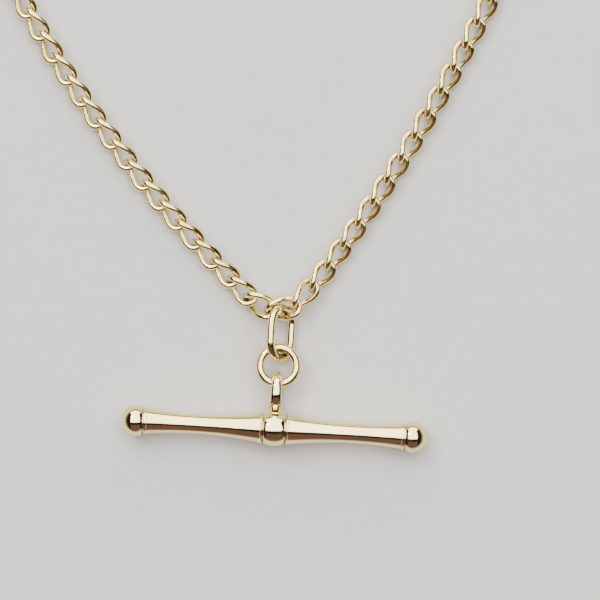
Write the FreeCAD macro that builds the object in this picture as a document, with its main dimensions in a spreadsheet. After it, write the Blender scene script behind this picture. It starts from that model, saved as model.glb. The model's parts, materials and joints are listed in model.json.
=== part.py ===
import FreeCAD, Part

import math
import os

import Sketcher
from FreeCAD import Placement, Rotation, Vector

# Double Albert pocket watch chain laid out on a flat surface.
# Frame: X to the right, Y away from the T-bar towards the chain, Z up.
# The origin is the middle of the T-bar barrel; the surface is SurfaceDrop below it.
# All lengths are millimetres and all angles are degrees.

DIMENSIONS = (
    # curb links
    ("LinkWireRadius", 0.33),
    ("LinkLength", 4.10),
    ("LinkWidth", 2.70),
    ("LinkEndTwist", 46.0),
    ("LinkSideTwist", 36.0),
    ("LinkPitch", 2.72),
    ("LinkLean", 46.0),
    ("LinkRestHeight", 1.235),
    # T-bar
    ("SurfaceDrop", 1.85),
    ("BarSlope", 3.45),
    ("CoreRadius", 0.45),
    ("CoreHalfLength", 14.80),
    ("BarrelWidth", 2.15),
    ("BarrelHalfWidth", 1.075),
    ("BarrelEdgeRadius", 1.60),
    ("BarrelRadius", 1.85),
    ("SpigotRadius", 1.15),
    ("ArmStart", 1.27),
    ("ArmLipEnd", 1.45),
    ("ArmLipRadius", 1.66),
    ("ArmRootRadius", 1.59),
    ("ArmEnd", 13.30),
    ("ArmEndRadius", 1.34),
    ("ArmCurveRadius", 42.0),
    ("CollarLipEnd", 13.56),
    ("CollarEnd", 13.74),
    ("CollarRadius", 1.44),
    ("CollarGrooveRadius", 1.22),
    ("CapRimRadius", 1.44),
    ("CapBulgeEnd", 14.60),
    ("CapRadius", 1.64),
    ("BarHalfLength", 16.0),
    # loop on the barrel
    ("LoopTop", 6.00),
    ("LoopLength", 4.06),
    ("LoopHeight", 3.70),
    ("LoopWireDepth", 0.78),
    ("LoopWireWidth", 1.25),
    ("NeckBaseRadius", 0.78),
    ("NeckTopRadius", 0.50),
    # rings
    ("RoundRingRadius", 1.89),
    ("RingWireRadius", 0.45),
    ("DropRingHalfStraight", 0.80),
    ("DropRingEndRadius", 1.80),
    ("EndRingRadius", 1.75),
    ("EndRingWireRadius", 0.33),
    # swivel dog clip
    ("EyeRadius", 1.70),
    ("EyeWireRadius", 0.42),
    ("ShankRadius", 0.55),
    ("ShankStart", 1.75),
    ("ShankEnd", 4.25),
    ("ShankHeadRadius", 0.95),
    ("ShankHeadLength", 0.55),
    ("ShankBore", 0.62),
    ("CapStart", 2.45),
    ("ClipCapLength", 0.95),
    ("ClipCapRadius", 1.40),
    ("DrumStart", 3.40),
    ("DrumLength", 2.60),
    ("DrumRadius", 1.60),
    ("DrumCavityRadius", 1.05),
    ("DrumCavityLength", 1.30),
    ("HookWireRadius", 0.70),
    ("CheekRadius", 0.85),
    ("CheekThickness", 0.38),
    ("CheekOffset", 0.52),
    ("RivetRadius", 0.30),
    ("RivetHalfLength", 1.02),
    ("RivetHeadRadius", 0.46),
    ("RivetHeadLength", 0.10),
    ("LeverThickness", 0.36),
    ("SpringWireRadius", 0.10),
    ("SpringCoilRadius", 0.50),
    ("ClipAxisHeight", 1.62),
)

SHEET = "Dimensions"

doc = FreeCAD.newDocument("pocket_watch_chain")
sheet = doc.addObject("Spreadsheet::Sheet", SHEET)
for row, (alias, value) in enumerate(DIMENSIONS, start=1):
    sheet.set("A%d" % row, alias)
    sheet.set("B%d" % row, str(value))
    sheet.setAlias("B%d" % row, alias)
doc.recompute()

D = dict(DIMENSIONS)
nodes = []

X_AXIS = Vector(1, 0, 0)
Y_AXIS = Vector(0, 1, 0)
Z_AXIS = Vector(0, 0, 1)
ORIGIN = Vector(0, 0, 0)


def pose(x, y, z, yaw=0.0, pitch=0.0, roll=0.0):
    """Placement at x, y, z turned by roll about X, then pitch about Y, then yaw about Z."""
    turn = Rotation(Z_AXIS, yaw) * Rotation(Y_AXIS, pitch) * Rotation(X_AXIS, roll)
    return Placement(Vector(x, y, z), turn)


def resting(x, y, height, yaw=0.0, pitch=0.0, roll=0.0):
    """The same, with the height measured up from the surface the chain lies on."""
    return pose(x, y, height - D["SurfaceDrop"], yaw, pitch, roll)


def keep(obj, label):
    """Mark a document object as one exported sub-part."""
    obj.Label = label
    nodes.append(obj)
    return obj


def feature(label, shape, placement=None):
    """A sub-part whose swept or curved shape has no matching primitive."""
    obj = doc.addObject("Part::Feature", label)
    obj.Shape = shape
    if placement is not None:
        obj.Placement = placement
    return keep(obj, label)


def bind(obj, **bindings):
    """Tie properties of an object to cells of the dimension sheet."""
    for prop, expression in bindings.items():
        obj.setExpression(prop, expression)


def cell(alias):
    return "%s.%s" % (SHEET, alias)


def cylinder(name, radius, height, placement):
    """Cylinder bound to two cells; its axis runs along the local Z of the placement."""
    obj = doc.addObject("Part::Cylinder", name)
    bind(obj, Radius=radius, Height=height)
    obj.Placement = placement
    return obj


def fuse(name, shapes):
    obj = doc.addObject("Part::MultiFuse", name)
    obj.Shapes = shapes
    return obj


def cut(name, base, tool):
    obj = doc.addObject("Part::Cut", name)
    obj.Base = base
    obj.Tool = tool
    return obj


# ---------------------------------------------------------------- T-bar

def turned_body(label, corners, bulges=None):
    """Lathe part about the X axis.

    corners is a closed list of (station alias, radius alias) pairs, None standing for zero;
    bulges maps the index of a side to (radius of its arc, +1 convex or -1 waisted).
    """
    bulges = bulges or {}
    body = doc.addObject("PartDesign::Body", label)
    sketch = doc.addObject("Sketcher::SketchObject", label + "_profile")
    body.addObject(sketch)
    points = [Vector(D[s] if s else 0.0, D[r] if r else 0.0, 0) for s, r in corners]
    count = len(points)
    for i in range(count):
        start = points[i]
        end = points[(i + 1) % count]
        if i in bulges:
            radius, side = bulges[i]
            middle = (start + end) * 0.5
            chord = end - start
            normal = Vector(-chord.y, chord.x, 0).normalize()
            if normal.y < 0:
                normal = normal * -1
            rise = radius - math.sqrt(radius ** 2 - (chord.Length / 2) ** 2)
            arc = Part.Arc(start, middle + normal * (side * rise), end)
            sketch.addGeometry(arc, False)
        else:
            sketch.addGeometry(Part.LineSegment(start, end), False)

    def near(index, target):
        """1 or 2, whichever end of that side lies on the corner."""
        first = sketch.getPoint(index, 1)
        return 1 if (first - target).Length < 1e-6 else 2

    for i in range(count):
        j = (i + 1) % count
        corner = points[j]
        sketch.addConstraint(Sketcher.Constraint("Coincident", i, near(i, corner), j, near(j, corner)))
    for i, (station, radius) in enumerate(corners):
        end = near(i, points[i])
        if station:
            index = sketch.addConstraint(Sketcher.Constraint("DistanceX", -1, 1, i, end, D[station]))
            sketch.setExpression("Constraints[%d]" % index, cell(station))
        else:
            sketch.addConstraint(Sketcher.Constraint("PointOnObject", i, end, -2))
        if radius:
            index = sketch.addConstraint(Sketcher.Constraint("DistanceY", -1, 1, i, end, D[radius]))
            sketch.setExpression("Constraints[%d]" % index, cell(radius))
        else:
            sketch.addConstraint(Sketcher.Constraint("PointOnObject", i, end, -1))
    for i, (radius, _) in bulges.items():
        sketch.addConstraint(Sketcher.Constraint("Radius", i, radius))
    turn = doc.addObject("PartDesign::Revolution", label + "_turning")
    body.addObject(turn)
    turn.Profile = sketch
    turn.ReferenceAxis = (sketch, ["H_Axis"])
    turn.Angle = 360.0
    return keep(body, label)


def arc_radius(alias_a, alias_b, alias_ra, alias_rb, rise):
    """Radius of the arc between two profile corners that rises this far above its chord."""
    chord = math.hypot(D[alias_b] - D[alias_a], D[alias_rb] - D[alias_ra])
    return (chord ** 2 / 4 + rise ** 2) / (2 * rise)


bar_pose = pose(0, 0, 0, yaw=-D["BarSlope"])
half_turn = Placement(ORIGIN, Rotation(Z_AXIS, 180))

BARREL = (
    (None, "CoreRadius"),
    (None, "BarrelEdgeRadius"),
    ("BarrelWidth", "BarrelEdgeRadius"),
    ("BarrelWidth", "CoreRadius"),
)
barrel_rise = D["BarrelRadius"] - D["BarrelEdgeRadius"]
barrel_arc = (D["BarrelWidth"] ** 2 / 4 + barrel_rise ** 2) / (2 * barrel_rise)
barrel = turned_body("t_bar_barrel", BARREL, {1: (barrel_arc, 1)})
barrel.Placement = bar_pose * Placement(Vector(-D["BarrelHalfWidth"], 0, 0), Rotation())

ARM = (
    ("BarrelHalfWidth", "CoreRadius"),
    ("BarrelHalfWidth", "SpigotRadius"),
    ("ArmStart", "SpigotRadius"),
    ("ArmStart", "ArmLipRadius"),
    ("ArmLipEnd", "ArmLipRadius"),
    ("ArmLipEnd", "ArmRootRadius"),
    ("ArmEnd", "ArmEndRadius"),
    ("ArmEnd", "CoreRadius"),
)
COLLAR = (
    ("ArmEnd", "CoreRadius"),
    ("ArmEnd", "CollarRadius"),
    ("CollarLipEnd", "CollarRadius"),
    ("CollarLipEnd", "CollarGrooveRadius"),
    ("CollarEnd", "CollarGrooveRadius"),
    ("CollarEnd", "CoreRadius"),
)
END_CAP = (
    ("CollarEnd", "CoreRadius"),
    ("CollarEnd", "CapRimRadius"),
    ("CapBulgeEnd", "CapRadius"),
    ("BarHalfLength", None),
    ("CoreHalfLength", None),
    ("CoreHalfLength", "CoreRadius"),
)
rim_arc = arc_radius("CollarEnd", "CapBulgeEnd", "CapRimRadius", "CapRadius", 0.07)
dome_height = D["BarHalfLength"] - D["CapBulgeEnd"]
dome_arc = (dome_height ** 2 + D["CapRadius"] ** 2) / (2 * dome_height)

for side, turn in (("right", Placement()), ("left", half_turn)):
    arm = turned_body("t_bar_%s_arm" % side, ARM, {5: (D["ArmCurveRadius"], -1)})
    collar = turned_body("t_bar_%s_collar" % side, COLLAR)
    cap = turned_body("t_bar_%s_end_cap" % side, END_CAP, {1: (rim_arc, 1), 2: (dome_arc, 1)})
    for body in (arm, collar, cap):
        body.Placement = bar_pose * turn

along_x = Rotation(Y_AXIS, 90)
core = cylinder("t_bar_core_rod", cell("CoreRadius"), "2 * " + cell("CoreHalfLength"),
                bar_pose * Placement(Vector(-D["CoreHalfLength"], 0, 0), along_x))
keep(core, "t_bar_core_rod")


# ---------------------------------------------------------------- swept wires

def arc_from(start, tangent, end):
    """Circular arc leaving start along tangent and arriving at end."""
    chord = end - start
    across = chord - tangent * chord.dot(tangent)
    if across.Length < 1e-9:
        return Part.LineSegment(start, end).toShape()
    across.normalize()
    radius = chord.dot(chord) / (2 * chord.dot(across))
    half = math.atan2(chord.dot(across), chord.dot(tangent))
    middle = start + (tangent * math.sin(half) + across * (1 - math.cos(half))) * radius
    return Part.Arc(start, middle, end).toShape()


def sewn(faces):
    """Closed solid from faces that already meet edge to edge."""
    shell = Part.Shell(faces)
    shell.sewShape()
    return Part.Solid(shell)


def curb_link():
    """One twisted curb link: long axis X, lying flat in XY, wire rising and falling through it.

    A quarter of the centreline is a smooth pair of circular arcs; half turns about
    the three axes make the rest.
    """
    radius = D["LinkWireRadius"]
    reach = D["LinkLength"] / 2 - radius
    spread = D["LinkWidth"] / 2 - radius
    side_twist = math.radians(D["LinkSideTwist"])
    end_twist = math.radians(D["LinkEndTwist"])
    side = Vector(0, spread, 0)
    side_way = Vector(math.cos(side_twist), 0, -math.sin(side_twist))
    tip = Vector(reach, 0, 0)
    tip_way = Vector(0, -math.cos(end_twist), math.sin(end_twist))
    gap = tip - side
    ways = side_way + tip_way
    a = ways.dot(ways) - 4
    b = -2 * gap.dot(ways)
    c = gap.dot(gap)
    step = (-b - math.sqrt(b * b - 4 * a * c)) / (2 * a)
    before = side + side_way * step
    after = tip - tip_way * step
    join = (before + after) * 0.5
    join_way = (after - before).normalize()
    spine = Part.Wire([arc_from(side, side_way, join), arc_from(join, join_way, tip)])
    section = Part.Wire([Part.makeCircle(radius, side, side_way)])
    tube = spine.makePipeShell([section], False, False).Faces
    half = tube + [face.rotated(ORIGIN, X_AXIS, 180) for face in tube]
    whole = half + [face.rotated(ORIGIN, Z_AXIS, 180) for face in half]
    return sewn(whole)


def racetrack_tube(half_straight, end_radius, depth, width):
    """Closed stadium ring in XY with its long axis along Y and an elliptical wire section."""
    corner = Vector(end_radius, half_straight, 0)
    top = Vector(0, half_straight + end_radius, 0)
    side = Vector(end_radius, 0, 0)
    spine = Part.Wire([Part.LineSegment(side, corner).toShape(), arc_from(corner, Y_AXIS, top)])
    if depth == width:
        oval = Part.Circle(side, Y_AXIS, depth / 2)
    elif depth > width:
        oval = Part.Ellipse(side + X_AXIS * (depth / 2), side + Z_AXIS * (width / 2), side)
    else:
        oval = Part.Ellipse(side + Z_AXIS * (width / 2), side + X_AXIS * (depth / 2), side)
    section = Part.Wire([oval.toShape()])
    tube = spine.makePipeShell([section], False, False).Faces
    half = tube + [face.rotated(ORIGIN, Y_AXIS, 180) for face in tube]
    whole = half + [face.rotated(ORIGIN, Z_AXIS, 180) for face in half]
    return sewn(whole)


# loop soldered to the barrel, its hole looking along the bar
loop_end = (D["LoopHeight"] - D["LoopWireDepth"]) / 2
loop_straight = (D["LoopLength"] - D["LoopWireDepth"]) / 2 - loop_end
loop = racetrack_tube(loop_straight, loop_end, D["LoopWireDepth"], D["LoopWireWidth"])
loop.rotate(ORIGIN, Y_AXIS, 90)
loop.translate(Vector(0, D["LoopTop"] - D["LoopLength"] / 2, 0))
neck_foot = D["BarrelRadius"] - 0.25
neck_head = D["LoopTop"] - D["LoopLength"] + D["LoopWireDepth"] * 0.6
neck = Part.makeCone(D["NeckBaseRadius"], D["NeckTopRadius"], neck_head - neck_foot,
                     Vector(0, neck_foot, 0), Y_AXIS)
doc.recompute()
seat = barrel.Shape.copy()
seat.Placement = Placement(Vector(-D["BarrelHalfWidth"], 0, 0), Rotation())
feature("t_bar_loop", loop.fuse(neck).cut(seat).Solids[0], bar_pose)


# ---------------------------------------------------------------- the two rings

round_ring = doc.addObject("Part::Torus", "jump_ring_round")
bind(round_ring, Radius1=cell("RoundRingRadius"), Radius2=cell("RingWireRadius"))
round_ring.Placement = resting(0.44, 6.56, 1.90, 0, -0.15, 0.35)
keep(round_ring, "jump_ring_round")

drop_wire = 2 * D["RingWireRadius"]
drop_shape = racetrack_tube(D["DropRingHalfStraight"], D["DropRingEndRadius"], drop_wire, drop_wire)
feature("drop_ring", drop_shape, resting(0.73, 9.99, 1.93, -3.7, 54.5, -0.5))


# ---------------------------------------------------------------- chain runs

link = curb_link()

# Resting poses of the links bunched round the drop ring, nearest first.
CENTRE_POSE = resting(0.97, 12.55, 1.80, 6.2, -7.3, 17.0)
LEFT_NEAR = (
    resting(-1.50, 12.93, 1.45, 147.2, 10.3, -25.5),
    resting(-3.435, 14.50, 1.22, 135.5, 0.9, -37.5),
    resting(-5.27, 16.415, 1.25, 134.4, 0.2, -45.9),
)
RIGHT_NEAR = (
    resting(3.10, 13.965, 1.73, 47.1, 9.5, 40.7),
    resting(4.857, 15.87, 1.28, 52.5, 0.3, 46.0),
)

VISIBLE_LEFT = 15
VISIBLE_RIGHT = 13
GROUPS = (("a", 17), ("b", 17), ("c", 16))


def straight_on(start, heading, lean, turns):
    """Poses of further leaning links, each turned from the one before by the next value of turns."""
    half = D["LinkPitch"] / 2
    place = Vector(start.x, start.y, D["LinkRestHeight"] - D["SurfaceDrop"])
    result = []
    for turn in turns:
        bend = heading + turn
        place = place + Rotation(Z_AXIS, heading).multVec(X_AXIS) * half
        place = place + Rotation(Z_AXIS, bend).multVec(X_AXIS) * half
        heading = bend
        result.append(pose(place.x, place.y, place.z, heading, 0, lean))
    return result, heading


def turns_to(heading, target, count):
    """Equal turns that bring a heading round to the target over this many links."""
    return [(target - heading) / count] * count


LEFT_START = 134.5
LEFT_EXIT = 120.0
RIGHT_START = 53.0
RIGHT_EXIT = 63.0
left_turns = turns_to(LEFT_START, LEFT_EXIT, VISIBLE_LEFT - len(LEFT_NEAR))
left_turns += [0.0] * 4 + turns_to(LEFT_EXIT, 270, 18) + [0.0] * 28
right_turns = turns_to(RIGHT_START, RIGHT_EXIT, VISIBLE_RIGHT - len(RIGHT_NEAR))
right_turns += [0.0] * 8 + turns_to(RIGHT_EXIT, -90, 18) + [0.0] * 24

left_far, left_heading = straight_on(LEFT_NEAR[-1].Base, LEFT_START, -D["LinkLean"], left_turns)
right_far, right_heading = straight_on(RIGHT_NEAR[-1].Base, RIGHT_START, D["LinkLean"], right_turns)

feature("link_centre", link, CENTRE_POSE)
for side, near_poses, far_poses, visible in (
        ("l", LEFT_NEAR, left_far, VISIBLE_LEFT), ("r", RIGHT_NEAR, right_far, VISIBLE_RIGHT)):
    poses = list(near_poses) + far_poses
    for number in range(visible):
        feature("link_%s%02d" % (side, number + 1), link, poses[number])
    start = visible
    for name, size in GROUPS:
        group = [link.copy() for _ in range(size)]
        for piece, place in zip(group, poses[start:start + size]):
            piece.Placement = place
        feature("run_%s_%s" % ("left" if side == "l" else "right", name), Part.makeCompound(group))
        start += size


# ---------------------------------------------------------------- swivel dog clips

# Lever rivet in the clip frame.
PIVOT = Vector(6.95, -1.75, 0)


def hook_spine():
    """Centreline of the hook in the clip frame, from the drum round to the nose."""
    root = Vector(5.3, 0.55, 0)
    shoulder = Vector(8.4, 3.05, 0)
    crown_start = Vector(12.4, 3.3, 0)
    crown = Vector(15.7, 0, 0)
    nose = Vector(12.55, -3.3, 0)
    rising = Vector(0.55, 0.83, 0).normalize()
    first = arc_from(root, rising, shoulder)
    leaving = first.tangentAt(first.LastParameter)
    return Part.Wire([
        first,
        arc_from(shoulder, leaving, crown_start),
        arc_from(crown_start, X_AXIS, crown),
        arc_from(crown, Y_AXIS * -1, nose),
    ])


def swivel_clip(side, mount, eye_roll):
    """One dog clip; mount places its swivel eye centre, the clip running along local +X."""
    eye = doc.addObject("Part::Torus", "%s_eye_ring" % side)
    bind(eye, Radius1=cell("EyeRadius"), Radius2=cell("EyeWireRadius"))
    shank = cylinder("%s_eye_shank" % side, cell("ShankRadius"),
                     cell("ShankEnd") + " - " + cell("ShankStart"),
                     Placement(Vector(D["ShankStart"], 0, 0), along_x))
    head = cylinder("%s_eye_head" % side, cell("ShankHeadRadius"), cell("ShankHeadLength"),
                    Placement(Vector(D["ShankEnd"] - D["ShankHeadLength"], 0, 0), along_x))
    swivel = fuse("%s_swivel_eye" % side, [eye, shank, head])
    swivel.Placement = mount * Placement(ORIGIN, Rotation(X_AXIS, eye_roll))
    keep(swivel, "clip_%s_swivel_eye" % side)

    disc = cylinder("%s_cap_disc" % side, cell("ClipCapRadius"), cell("ClipCapLength"),
                    Placement(Vector(D["CapStart"], 0, 0), along_x))
    bore = cylinder("%s_cap_bore" % side, cell("ShankBore"), "2 * " + cell("ClipCapLength"),
                    Placement(Vector(D["CapStart"] - 0.4, 0, 0), along_x))
    plug = cut("%s_swivel_cap" % side, disc, bore)
    plug.Placement = mount
    keep(plug, "clip_%s_swivel_cap" % side)

    drum = Part.makeCylinder(D["DrumRadius"], D["DrumLength"], Vector(D["DrumStart"], 0, 0), X_AXIS)
    spine = hook_spine()
    section = Part.Wire([Part.makeCircle(D["HookWireRadius"], Vector(5.3, 0.55, 0),
                                         Vector(0.55, 0.83, 0))])
    wire = spine.makePipeShell([section], True, False)
    nose_ball = Part.makeSphere(D["HookWireRadius"], Vector(12.55, -3.3, 0))
    body = drum.fuse(wire).fuse(nose_ball)
    for sign in (-1, 1):
        body = body.fuse(cheek(sign))
    cavity = Part.makeCylinder(D["DrumCavityRadius"], D["DrumCavityLength"],
                               Vector(D["DrumStart"], 0, 0), X_AXIS)
    hole = Part.makeCylinder(D["RivetRadius"], 4, PIVOT - Z_AXIS * 2, Z_AXIS)
    slot = Part.makeBox(2.2, 2.2, 2 * D["CheekOffset"], PIVOT - Vector(0.95, 1.35, D["CheekOffset"]))
    body = body.cut(cavity).cut(hole).cut(slot)
    feature("clip_%s_hook_body" % side, body.Solids[0], mount)

    lever = lever_shape()
    feature("clip_%s_lever" % side, lever, mount)

    pin = cylinder("%s_rivet_pin" % side, cell("RivetRadius"), "2 * " + cell("RivetHalfLength"),
                   Placement(PIVOT - Z_AXIS * D["RivetHalfLength"], Rotation()))
    heads = [pin]
    for name, sign in (("lower", -1), ("upper", 1)):
        low = sign * (D["CheekOffset"] + D["CheekThickness"])
        low = low if sign > 0 else low - D["RivetHeadLength"]
        heads.append(cylinder("%s_rivet_%s" % (side, name), cell("RivetHeadRadius"),
                              cell("RivetHeadLength"), Placement(PIVOT + Z_AXIS * low, Rotation())))
    rivet = fuse("%s_rivet" % side, heads)
    rivet.Placement = mount
    keep(rivet, "clip_%s_rivet" % side)

    helix = Part.makeHelix(2.4 * D["SpringWireRadius"], 4 * D["SpringWireRadius"],
                           D["SpringCoilRadius"])
    start = Vector(D["SpringCoilRadius"], 0, 0)
    ring = Part.Wire([Part.makeCircle(D["SpringWireRadius"], start, Y_AXIS)])
    coil = Part.Wire(helix.Edges).makePipeShell([ring], True, True)
    feature("clip_%s_lever_spring" % side, coil, mount * Placement(PIVOT + Z_AXIS * 0.02, Rotation()))


def cheek(sign):
    """One of the two cheeks carrying the lever rivet, joined back to the drum."""
    low = D["CheekOffset"] if sign > 0 else -D["CheekOffset"] - D["CheekThickness"]
    disc = Part.makeCylinder(D["CheekRadius"], D["CheekThickness"], PIVOT + Z_AXIS * low, Z_AXIS)
    web = Part.makePolygon([
        Vector(5.2, -1.25, low), PIVOT + Vector(-0.35, -0.77, low), PIVOT + Vector(0.55, 0.62, low),
        Vector(5.4, 0.9, low), Vector(5.2, -1.25, low)])
    return disc.fuse(Part.Face(web).extrude(Z_AXIS * D["CheekThickness"]))


def lever_shape():
    """Thumb lever: eye on the rivet, straight round gate up to the nose and a thumb collar."""
    low = -D["CheekOffset"] + 0.04
    eye = Part.makeCylinder(0.78, D["LeverThickness"], PIVOT + Z_AXIS * low, Z_AXIS)
    start = PIVOT + Vector(0.25, -0.30, 0)
    end = Vector(11.70, -3.22, 0)
    along = (end - start).normalize()
    gate = Part.makeCylinder(0.42, start.distanceToPoint(end), start, along)
    collar = Part.makeCylinder(0.56, 0.8, start + along * 2.6, along)
    hole = Part.makeCylinder(D["RivetRadius"] + 0.02, 4, PIVOT - Z_AXIS * 2, Z_AXIS)
    room = Part.makeCylinder(0.72, 0.70, PIVOT - Z_AXIS * 0.10, Z_AXIS)
    return eye.fuse(gate.cut(room)).fuse(collar).cut(hole).Solids[0]


# Each side ends in a ring, placed from the last link, and a swivel eye further along.
ENDS = (
    ("left", left_far[-1], left_heading, pose(2.75, 0, 0, 0, 0.8, -7), 4.18, 42.9),
    ("right", right_far[-1], right_heading, pose(2.51, 0, 0.14, 0, -5.9, -36.1), 4.13, 24.7),
)
for side, last, heading, ring_pose, eye_reach, eye_roll in ENDS:
    level = pose(last.Base.x, last.Base.y, last.Base.z, heading)
    ring = doc.addObject("Part::Torus", "clip_%s_end_ring" % side)
    bind(ring, Radius1=cell("EndRingRadius"), Radius2=cell("EndRingWireRadius"))
    ring.Placement = level * ring_pose
    keep(ring, "clip_%s_end_ring" % side)
    rise = D["ClipAxisHeight"] - D["LinkRestHeight"]
    swivel_clip(side, level * Placement(Vector(eye_reach, 0, rise), Rotation()), eye_roll)

doc.recompute()


# ---------------------------------------------------------------- checks and export

for obj in doc.Objects:
    if "Invalid" in obj.State or "Error" in obj.State:
        raise RuntimeError("%s did not recompute: %s" % (obj.Label, obj.State))

os.makedirs("parts", exist_ok=True)
for obj in nodes:
    shape = obj.Shape
    if shape.isNull() or not shape.Solids or not shape.isValid():
        raise RuntimeError("%s has no valid shape" % obj.Label)
    shape.exportStep("parts/%s.step" % obj.Label)
print("%d sub-parts written" % len(nodes))
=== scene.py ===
import json
import math

import bpy
import numpy as np
from mathutils import Matrix, Vector

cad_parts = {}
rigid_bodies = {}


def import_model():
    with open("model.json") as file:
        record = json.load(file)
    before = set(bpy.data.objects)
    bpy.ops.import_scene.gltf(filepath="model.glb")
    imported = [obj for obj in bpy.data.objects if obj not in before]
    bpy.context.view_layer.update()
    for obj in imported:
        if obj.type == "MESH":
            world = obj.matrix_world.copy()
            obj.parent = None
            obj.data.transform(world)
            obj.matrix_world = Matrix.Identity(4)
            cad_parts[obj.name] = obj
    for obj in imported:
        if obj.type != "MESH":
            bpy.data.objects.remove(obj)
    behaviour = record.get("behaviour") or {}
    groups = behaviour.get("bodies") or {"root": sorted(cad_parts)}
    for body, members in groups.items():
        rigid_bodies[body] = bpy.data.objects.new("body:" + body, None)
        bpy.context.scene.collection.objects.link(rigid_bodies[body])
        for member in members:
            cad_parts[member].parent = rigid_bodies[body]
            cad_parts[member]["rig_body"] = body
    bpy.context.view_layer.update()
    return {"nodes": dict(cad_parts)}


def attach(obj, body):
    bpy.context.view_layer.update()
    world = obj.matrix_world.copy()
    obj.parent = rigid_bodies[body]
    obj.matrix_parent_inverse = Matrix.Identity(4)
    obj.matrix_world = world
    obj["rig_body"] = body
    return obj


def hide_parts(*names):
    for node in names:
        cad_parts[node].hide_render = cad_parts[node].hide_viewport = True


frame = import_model()

MM = 0.001
FLOOR_Z = -1.85 * MM
BAR_SLOPE = math.radians(-3.45)
NODES = frame["nodes"]
BODY_OF = {node: NODES[node]["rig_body"] for node in NODES}


# ---------------------------------------------------------------- materials

def node_tree(name):
    material = bpy.data.materials.new(name)
    material.use_nodes = True
    tree = material.node_tree
    tree.nodes.clear()
    output = tree.nodes.new("ShaderNodeOutputMaterial")
    shader = tree.nodes.new("ShaderNodeBsdfPrincipled")
    tree.links.new(shader.outputs["BSDF"], output.inputs["Surface"])
    return material, tree, shader


def noise(tree, coords, scale, detail=4.0, rough=0.5, stretch=None):
    """Noise in the row frame; stretch squeezes it along an axis to draw it out into streaks."""
    source = coords
    if stretch is not None:
        mapping = tree.nodes.new("ShaderNodeMapping")
        mapping.inputs["Scale"].default_value = stretch
        tree.links.new(coords, mapping.inputs["Vector"])
        source = mapping.outputs["Vector"]
    node = tree.nodes.new("ShaderNodeTexNoise")
    node.inputs["Scale"].default_value = scale
    node.inputs["Detail"].default_value = detail
    node.inputs["Roughness"].default_value = rough
    tree.links.new(source, node.inputs["Vector"])
    return node.outputs["Fac"]


def remap(tree, value, low, high, to_low, to_high):
    node = tree.nodes.new("ShaderNodeMapRange")
    node.inputs["From Min"].default_value = low
    node.inputs["From Max"].default_value = high
    node.inputs["To Min"].default_value = to_low
    node.inputs["To Max"].default_value = to_high
    tree.links.new(value, node.inputs["Value"])
    return node.outputs["Result"]


def combine(tree, operation, a, b):
    node = tree.nodes.new("ShaderNodeMath")
    node.operation = operation
    tree.links.new(a, node.inputs[0])
    if isinstance(b, (int, float)):
        node.inputs[1].default_value = b
    else:
        tree.links.new(b, node.inputs[1])
    return node.outputs["Value"]


def mix_colour(tree, factor, a, b):
    node = tree.nodes.new("ShaderNodeMix")
    node.data_type = "RGBA"
    tree.links.new(factor, node.inputs["Factor"])
    for socket, colour in ((node.inputs["A"], a), (node.inputs["B"], b)):
        if isinstance(colour, tuple):
            socket.default_value = (*colour, 1.0)
        else:
            tree.links.new(colour, socket)
    return node.outputs["Result"]


def bump(tree, shader, height, strength, distance):
    node = tree.nodes.new("ShaderNodeBump")
    node.inputs["Strength"].default_value = strength
    node.inputs["Distance"].default_value = distance
    tree.links.new(height, node.inputs["Height"])
    tree.links.new(node.outputs["Normal"], shader.inputs["Normal"])


def object_coords(tree):
    return tree.nodes.new("ShaderNodeTexCoord").outputs["Object"]


def gold(name, pale, deep, smooth, worn, relief):
    """Polished pale gold: slow colour drift, scuffed patches, hairline scratches and tiny pits,
    plus painted shade that darkens the colour where parts crowd close.
    """
    material, tree, shader = node_tree(name)
    coords = object_coords(tree)
    drift = noise(tree, coords, 260.0, 3.0)
    scuffs = noise(tree, coords, 1400.0, 6.0, 0.62)
    hairlines = noise(tree, coords, 2600.0, 5.0, 0.6, (0.35, 3.2, 1.0))
    pits = noise(tree, coords, 7500.0, 2.0, 0.5)
    shader.inputs["Metallic"].default_value = 1.0
    tone = remap(tree, drift, 0.35, 0.65, 0.0, 1.0)
    colour = mix_colour(tree, tone, deep, pale)
    # Painted shade: ambient occlusion mixes the base colour towards dark brown where parts crowd
    # close, patchy with the scuff noise. The same mask also roughens those places.
    gap_occlusion = tree.nodes.new("ShaderNodeAmbientOcclusion")
    gap_occlusion.samples = 8
    gap_occlusion.inputs["Distance"].default_value = 0.45 * MM
    shade = remap(tree, gap_occlusion.outputs["AO"], 0.25, 0.85, 1.0, 0.0)
    painted_gap_shade = combine(tree, "MULTIPLY", shade, remap(tree, scuffs, 0.3, 0.7, 0.45, 1.0))
    tree.links.new(mix_colour(tree, painted_gap_shade, colour, (0.20, 0.15, 0.075)), shader.inputs["Base Color"])
    rough = remap(tree, scuffs, 0.38, 0.72, smooth, worn)
    rough = combine(tree, "ADD", rough, combine(tree, "MULTIPLY", painted_gap_shade, 0.22))
    tree.links.new(rough, shader.inputs["Roughness"])
    height = combine(tree, "ADD", combine(tree, "MULTIPLY", hairlines, 0.6),
                     remap(tree, pits, 0.62, 0.78, 0.0, -0.8))
    bump(tree, shader, height, relief, 0.012 * MM)
    return material


def steel():
    material, tree, shader = node_tree("spring_steel")
    coords = object_coords(tree)
    lines = noise(tree, coords, 5200.0, 4.0)
    shader.inputs["Metallic"].default_value = 1.0
    tree.links.new(mix_colour(tree, lines, (0.42, 0.42, 0.43), (0.60, 0.60, 0.61)),
                   shader.inputs["Base Color"])
    tree.links.new(remap(tree, lines, 0.3, 0.7, 0.22, 0.42), shader.inputs["Roughness"])
    bump(tree, shader, lines, 0.25, 0.01 * MM)
    return material


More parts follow.
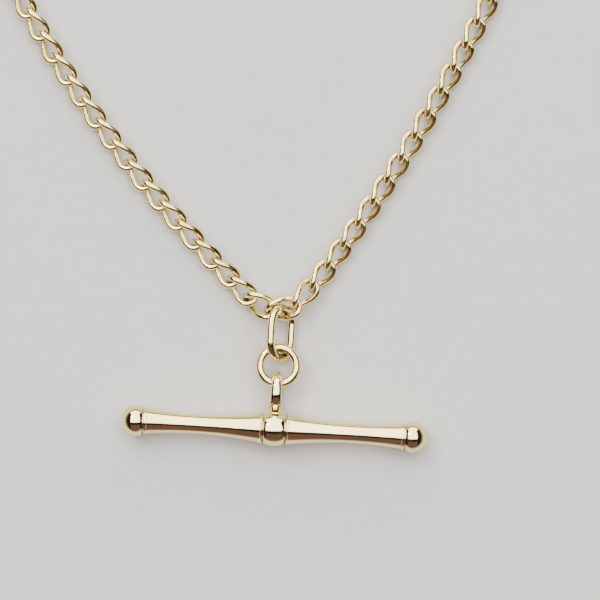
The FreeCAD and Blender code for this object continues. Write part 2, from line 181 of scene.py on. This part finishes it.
GOLD_LINK = gold("link_gold", (0.94, 0.79, 0.37), (0.78, 0.62, 0.26), 0.11, 0.26, 0.30)
GOLD_BAR = gold("bar_gold", (0.95, 0.81, 0.41), (0.88, 0.73, 0.34), 0.05, 0.15, 0.18)
GOLD_RING = gold("ring_gold", (0.94, 0.79, 0.40), (0.86, 0.70, 0.32), 0.07, 0.20, 0.24)
STEEL = steel()


# ---------------------------------------------------------------- meshes

def mesh_object(name, verts, faces, material, sharp=None):
    """Smooth mesh object from vertices in millimetres in the row frame."""
    mesh = bpy.data.meshes.new(name)
    mesh.from_pydata((np.asarray(verts, float) * MM).tolist(), [], faces)
    mesh.shade_smooth()
    if sharp is not None:
        mesh.set_sharp_from_angle(angle=math.radians(sharp))
    mesh.materials.append(material)
    mesh.update()
    obj = bpy.data.objects.new(name, mesh)
    bpy.context.scene.collection.objects.link(obj)
    return obj


def stand_in(obj, node):
    """The finer mesh takes the place of its CAD node and moves with the same body."""
    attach(obj, BODY_OF[node])
    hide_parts(node)
    return obj


def grid_faces(rings, around, closed=True):
    faces = []
    for i in range(rings if closed else rings - 1):
        j = (i + 1) % rings
        for k in range(around):
            m = (k + 1) % around
            faces.append((i * around + k, i * around + m, j * around + m, j * around + k))
    return faces


def closed_tube(path, outward, across, around):
    """Tube round a closed path about the origin.

    outward and across are the wire's half-thickness away from the middle of the loop and
    square to that, each a number or one value per point.
    """
    count = len(path)
    ahead = np.roll(path, -1, 0) - np.roll(path, 1, 0)
    ahead /= np.linalg.norm(ahead, axis=1)[:, None]
    out = path - (path * ahead).sum(1)[:, None] * ahead
    out /= np.linalg.norm(out, axis=1)[:, None]
    side = np.cross(ahead, out)
    angle = np.arange(around) * 2 * math.pi / around
    a = np.broadcast_to(np.asarray(outward, float), (count,))[:, None, None]
    b = np.broadcast_to(np.asarray(across, float), (count,))[:, None, None]
    ring = (path[:, None] + a * np.cos(angle)[None, :, None] * out[:, None]
            + b * np.sin(angle)[None, :, None] * side[:, None])
    return ring.reshape(-1, 3), grid_faces(count, around)


def arc_points(start, way, end, count):
    """Points of the circular arc leaving start along way and reaching end, end left out."""
    chord = end - start
    across = chord - (chord @ way) * way
    across /= np.linalg.norm(across)
    radius = (chord @ chord) / (2 * (chord @ across))
    sweep = 2 * math.atan2(chord @ across, chord @ way)
    turn = np.linspace(0, sweep, count, endpoint=False)[:, None]
    return start + radius * (np.sin(turn) * way + (1 - np.cos(turn)) * across)


LINK_WIRE = 0.33
LINK_REACH = 4.10 / 2 - LINK_WIRE
LINK_SPREAD = 2.70 / 2 - LINK_WIRE


def link_path(count):
    """Centreline of one twisted curb link, long axis X, lying in XY."""
    side_twist, end_twist = math.radians(36), math.radians(46)
    side = np.array([0, LINK_SPREAD, 0])
    side_way = np.array([math.cos(side_twist), 0, -math.sin(side_twist)])
    tip = np.array([LINK_REACH, 0, 0])
    tip_way = np.array([0, -math.cos(end_twist), math.sin(end_twist)])
    gap, ways = tip - side, side_way + tip_way
    a, b, c = ways @ ways - 4, -2 * gap @ ways, gap @ gap
    step = (-b - math.sqrt(b * b - 4 * a * c)) / (2 * a)
    before, after = side + step * side_way, tip - step * tip_way
    join = (before + after) / 2
    join_way = (after - before) / np.linalg.norm(after - before)
    quarter = np.vstack([arc_points(side, side_way, join, count),
                         arc_points(join, join_way, tip, count), tip[None]])
    return np.vstack([
        quarter[:-1],
        (quarter * (1, -1, -1))[::-1][:-1],
        (quarter * (-1, -1, 1))[:-1],
        (quarter * (-1, 1, -1))[::-1][:-1],
    ])


def racetrack(half_straight, radius, count):
    """Stadium path in XY with its long axis along Y."""
    turn = np.linspace(0, math.pi, count)
    top = np.c_[radius * np.cos(turn), half_straight + radius * np.sin(turn), 0 * turn]
    rise = np.linspace(-half_straight, half_straight, count // 3, endpoint=False)[1:]
    right = np.c_[0 * rise + radius, rise, 0 * rise]
    half = np.vstack([top, -right * (1, 1, 1)])
    return np.vstack([half, half * (-1, -1, 1)])


def circle(radius, count):
    turn = np.arange(count) * 2 * math.pi / count
    return np.c_[radius * np.cos(turn), radius * np.sin(turn), 0 * turn]


def islands(node):
    """Triangles of a CAD node, in millimetres, split into its separate solids."""
    mesh = NODES[node].data
    mesh.calc_loop_triangles()
    points = np.empty(len(mesh.vertices) * 3, np.float32)
    mesh.vertices.foreach_get("co", points)
    points = points.reshape(-1, 3).astype(float) / MM
    corners = np.empty(len(mesh.loop_triangles) * 3, np.int32)
    mesh.loop_triangles.foreach_get("vertices", corners)
    _, welded = np.unique(np.round(points, 3), axis=0, return_inverse=True)
    welded = welded.reshape(-1)
    triangles = welded[corners].reshape(-1, 3)
    label = np.arange(welded.max() + 1)
    while True:
        lowest = label[triangles].min(1)
        fresh = label.copy()
        for k in range(3):
            np.minimum.at(fresh, triangles[:, k], lowest)
        fresh = fresh[fresh]
        if (fresh == label).all():
            break
        label = fresh
    solid_of = label[triangles[:, 0]]
    places = points[corners].reshape(-1, 3, 3)
    return [places[solid_of == value] for value in np.unique(solid_of)]


def lie(triangles):
    """Centre and axes, longest first, of a solid that has three half-turn axes."""
    cross = np.cross(triangles[:, 1] - triangles[:, 0], triangles[:, 2] - triangles[:, 0])
    area = np.linalg.norm(cross, axis=1) / 2
    middle = triangles.mean(1)
    centre = (middle * area[:, None]).sum(0) / area.sum()
    spread = np.zeros((3, 3))
    for k in range(3):
        for m in range(3):
            half = (triangles[:, k] + triangles[:, m]) / 2 - centre
            spread += (half * area[:, None]).T @ half
    _, axes = np.linalg.eigh(spread)
    long_axis, mid_axis = axes[:, 2], axes[:, 1]
    return centre, np.c_[long_axis, mid_axis, np.cross(long_axis, mid_axis)]


def placed(verts, centre, axes):
    return verts @ axes.T + centre


# ---------------------------------------------------------------- chain

link_verts, link_faces = closed_tube(link_path(10), LINK_WIRE, LINK_WIRE, 20)
far_verts, far_faces = closed_tube(link_path(7), LINK_WIRE, LINK_WIRE, 16)

for node in sorted(NODES):
    if node.startswith("link_"):
        centre, axes = lie(islands(node)[0])
        obj = mesh_object("fine_" + node, placed(link_verts, centre, axes), link_faces, GOLD_LINK)
        stand_in(obj, node)
    elif node.startswith("run_"):
        verts, faces = [], []
        for solid in islands(node):
            centre, axes = lie(solid)
            start = sum(len(block) for block in verts)
            verts.append(placed(far_verts, centre, axes))
            faces += [tuple(start + corner for corner in face) for face in far_faces]
        stand_in(mesh_object("fine_" + node, np.vstack(verts), faces, GOLD_LINK), node)


# ---------------------------------------------------------------- rings

def plain_ring(node, radius, wire, material):
    verts, faces = closed_tube(circle(radius, 96), wire, wire, 28)
    centre, axes = lie(islands(node)[0])
    stand_in(mesh_object("fine_" + node, placed(verts, centre, axes), faces, material), node)


plain_ring("jump_ring_round", 1.89, 0.45, GOLD_RING)
plain_ring("clip_left_end_ring", 1.75, 0.33, GOLD_RING)
plain_ring("clip_right_end_ring", 1.75, 0.33, GOLD_RING)

oval_path = racetrack(0.80, 1.80, 40)
oval_verts, oval_faces = closed_tube(oval_path[:, [1, 0, 2]] * (1, 1, -1), 0.45, 0.45, 28)
centre, axes = lie(islands("drop_ring")[0])
stand_in(mesh_object("fine_drop_ring", placed(oval_verts, centre, axes), oval_faces, GOLD_RING),
         "drop_ring")


# ---------------------------------------------------------------- T-bar

bar_turn = np.array(Matrix.Rotation(BAR_SLOPE, 3, "Z"))
half_turn = np.diag([-1.0, -1.0, 1.0])


def lathe(profile, around=96):
    """Surface of revolution about X from a closed list of (station, radius)."""
    profile = np.asarray(profile, float)
    angle = np.arange(around) * 2 * math.pi / around
    verts = np.stack([
        np.repeat(profile[:, :1], around, 1),
        profile[:, 1:] * np.cos(angle),
        profile[:, 1:] * np.sin(angle),
    ], axis=-1)
    return verts.reshape(-1, 3), grid_faces(len(profile), around)


def curve(start, end, rise, count):
    """Points of the arc between two profile corners standing rise above the chord, both kept."""
    start, end = np.array(start, float), np.array(end, float)
    chord = end - start
    length = np.linalg.norm(chord)
    normal = np.array([-chord[1], chord[0]]) / length
    radius = (length ** 2 / 4 + rise ** 2) / (2 * abs(rise))
    along = np.linspace(-0.5, 0.5, count) * length
    depth = np.sqrt(radius ** 2 - along ** 2) - (radius - abs(rise))
    step = np.sign(rise) * depth
    return [tuple(point) for point in
            (start + end) / 2 + along[:, None] * chord / length + step[:, None] * normal]


# Rise of the arm's waist curve over its chord, in millimetres.
WAIST_RADIUS = 42.0
HALF_CHORD = math.hypot(13.30 - 1.45, 1.59 - 1.34) / 2
ARC_RISE = WAIST_RADIUS - math.sqrt(WAIST_RADIUS ** 2 - HALF_CHORD ** 2)
BARREL = ([(-1.075, 0.45), (-1.075, 1.57)] + curve((-1.055, 1.60), (1.055, 1.60), 0.245, 25)
          + [(1.075, 1.57), (1.075, 0.45)])
ARM = ([(1.075, 0.45), (1.075, 1.15), (1.26, 1.15), (1.27, 1.17), (1.27, 1.62)]
       + curve((1.29, 1.645), (1.43, 1.645), 0.015, 7)
       + [(1.455, 1.62)] + curve((1.47, 1.587), (13.28, 1.338), -ARC_RISE, 61)
       + [(13.30, 1.33), (13.30, 0.45)])
COLLAR = ([(13.30, 0.45), (13.30, 1.40)] + curve((13.32, 1.425), (13.54, 1.425), 0.015, 7)
          + [(13.56, 1.40), (13.56, 1.23), (13.575, 1.22), (13.74, 1.22), (13.74, 0.45)])
CAP = ([(13.74, 0.45), (13.74, 1.40)] + curve((13.76, 1.44), (14.58, 1.638), 0.068, 13)
       + curve((14.60, 1.64), (15.998, 0.04), 0.395, 31)[1:]
       + [(15.999, 0.001), (14.80, 0.001), (14.80, 0.45)])


def bar_piece(node, profile, turn=None):
    verts, faces = lathe(profile)
    if turn is not None:
        verts = verts @ turn.T
    stand_in(mesh_object("fine_" + node, verts @ bar_turn.T, faces, GOLD_BAR, 32), node)


bar_piece("t_bar_barrel", BARREL)
for side, turn in (("right", None), ("left", half_turn)):
    bar_piece("t_bar_%s_arm" % side, ARM, turn)
    bar_piece("t_bar_%s_collar" % side, COLLAR, turn)
    bar_piece("t_bar_%s_end_cap" % side, CAP, turn)

# loop: its wire widens from the crown down to the neck, which flares on to the barrel
loop_path = racetrack((4.06 - 0.78) / 2 - 1.46, 1.46, 48)
widen = np.interp(loop_path[:, 1], [-1.6, 1.6], [0.64, 0.52])
loop_verts, loop_faces = closed_tube(loop_path, 0.39, widen, 32)
loop_verts = loop_verts[:, [2, 1, 0]] * (1, 1, -1) + (0, 6.0 - 2.03, 0)
neck = [(1.62, 0.93), (1.74, 0.86), (1.84, 0.74), (1.95, 0.63), (2.1, 0.56), (2.3, 0.52),
        (2.42, 0.45), (2.45, 0.001), (1.62, 0.001)]
neck_verts, neck_faces = lathe(neck, 48)
neck_verts = neck_verts[:, [1, 0, 2]] * (1, 1, -1)
joined = np.vstack([loop_verts, neck_verts])
faces = loop_faces + [tuple(len(loop_verts) + corner for corner in face) for face in neck_faces]
stand_in(mesh_object("fine_t_bar_loop", joined @ bar_turn.T, faces, GOLD_BAR, 40), "t_bar_loop")


# ---------------------------------------------------------------- pieces shown as built

for node, obj in NODES.items():
    if obj.hide_render:
        continue
    spring = node.endswith("lever_spring")
    obj.data.materials.clear()
    obj.data.materials.append(STEEL if spring else GOLD_RING)
    obj.data.shade_smooth()
    obj.data.set_sharp_from_angle(angle=math.radians(38))


# ---------------------------------------------------------------- studio

def emitter(name, colour, strength):
    material = bpy.data.materials.new(name)
    material.use_nodes = True
    tree = material.node_tree
    tree.nodes.clear()
    output = tree.nodes.new("ShaderNodeOutputMaterial")
    glow = tree.nodes.new("ShaderNodeEmission")
    glow.inputs["Color"].default_value = (*colour, 1.0)
    glow.inputs["Strength"].default_value = strength
    tree.links.new(glow.outputs["Emission"], output.inputs["Surface"])
    return material


def card(name, corners, material):
    mesh = bpy.data.meshes.new(name)
    mesh.from_pydata(corners, [], [(0, 1, 2, 3)])
    mesh.materials.append(material)
    obj = bpy.data.objects.new(name, mesh)
    bpy.context.scene.collection.objects.link(obj)
    return obj


def floor_material():
    material, tree, shader = node_tree("pale_floor")
    coords = object_coords(tree)
    grain = noise(tree, coords, 900.0, 4.0)
    tree.links.new(mix_colour(tree, grain, (0.50, 0.485, 0.47), (0.56, 0.545, 0.53)),
                   shader.inputs["Base Color"])
    tree.links.new(remap(tree, grain, 0.3, 0.7, 0.75, 0.9), shader.inputs["Roughness"])
    shader.inputs["Specular IOR Level"].default_value = 0.2
    return material


REACH = 3.0
card("floor", [(-REACH, -REACH, FLOOR_Z), (REACH, -REACH, FLOOR_Z),
               (REACH, REACH, FLOOR_Z), (-REACH, REACH, FLOOR_Z)], floor_material())


def sky_card(name, near, far, half_width, material):
    """Card across X whose lower and upper edges are given as (y, z)."""
    card(name, [(-half_width, near[0], near[1]), (half_width, near[0], near[1]),
                (half_width, far[0], far[1]), (-half_width, far[0], far[1])], material)


SKY = emitter("sky_panel", (1.0, 0.985, 0.93), 5.4)
DARK = emitter("dark_flag", (0.02, 0.02, 0.02), 1.0)
WARM = emitter("warm_flag", (0.34, 0.185, 0.205), 0.55)
# Panels above and round the part, in metres: bright overhead and behind, dark and warm in front.
HALF_ROOM = 1.15
CEILING = 1.25
BACK = 1.50
FRONT = -1.60
sky_card("sky_overhead", (-0.27, CEILING), (BACK, CEILING), HALF_ROOM, SKY)
sky_card("sky_back", (BACK, CEILING), (BACK, 0.32), HALF_ROOM, SKY)
sky_card("dark_overhead", (-0.27, 1.26), (-0.80, 1.26), HALF_ROOM, DARK)
sky_card("warm_side", (-0.80, 1.26), (FRONT, 0.35), HALF_ROOM, WARM)
for side, x in (("left", -1.16), ("right", 1.16)):
    card("dark_" + side,
         [(x, FRONT, 0.30), (x, BACK, 0.30), (x, BACK, CEILING), (x, FRONT, CEILING)], DARK)


def softbox(name, place, aim, size, energy, colour):
    """Rectangular area light at place, facing aim, both in metres."""
    data = bpy.data.lights.new(name, "AREA")
    data.shape = "RECTANGLE"
    data.size, data.size_y = size
    data.energy = energy
    data.color = colour
    obj = bpy.data.objects.new(name, data)
    bpy.context.scene.collection.objects.link(obj)
    obj.location = place
    obj.rotation_mode = "QUATERNION"
    obj.rotation_quaternion = (Vector(aim) - Vector(place)).to_track_quat("-Z", "Y")
    return obj


softbox("key", (-0.75, 0.75, 1.10), (0, 0, 0), (0.35, 0.35), 9.0, (1.0, 0.98, 0.94))

world = bpy.data.worlds.new("studio")
bpy.context.scene.world = world
world.use_nodes = True
backdrop = world.node_tree.nodes["Background"]
backdrop.inputs["Color"].default_value = (0.80, 0.81, 0.82, 1.0)
backdrop.inputs["Strength"].default_value = 0.30

camera_data = bpy.data.cameras.new("camera")
camera_data.sensor_width = 36.0
camera_data.lens = 150.0
camera_data.clip_start = 0.01
camera_data.clip_end = 20.0
camera_data.dof.use_dof = False
camera = bpy.data.objects.new("camera", camera_data)
bpy.context.scene.collection.objects.link(camera)
camera.location = (2.70 * MM, 13.44 * MM, 261 * MM)
camera.rotation_euler = (0, 0, 0)
bpy.context.scene.camera = camera
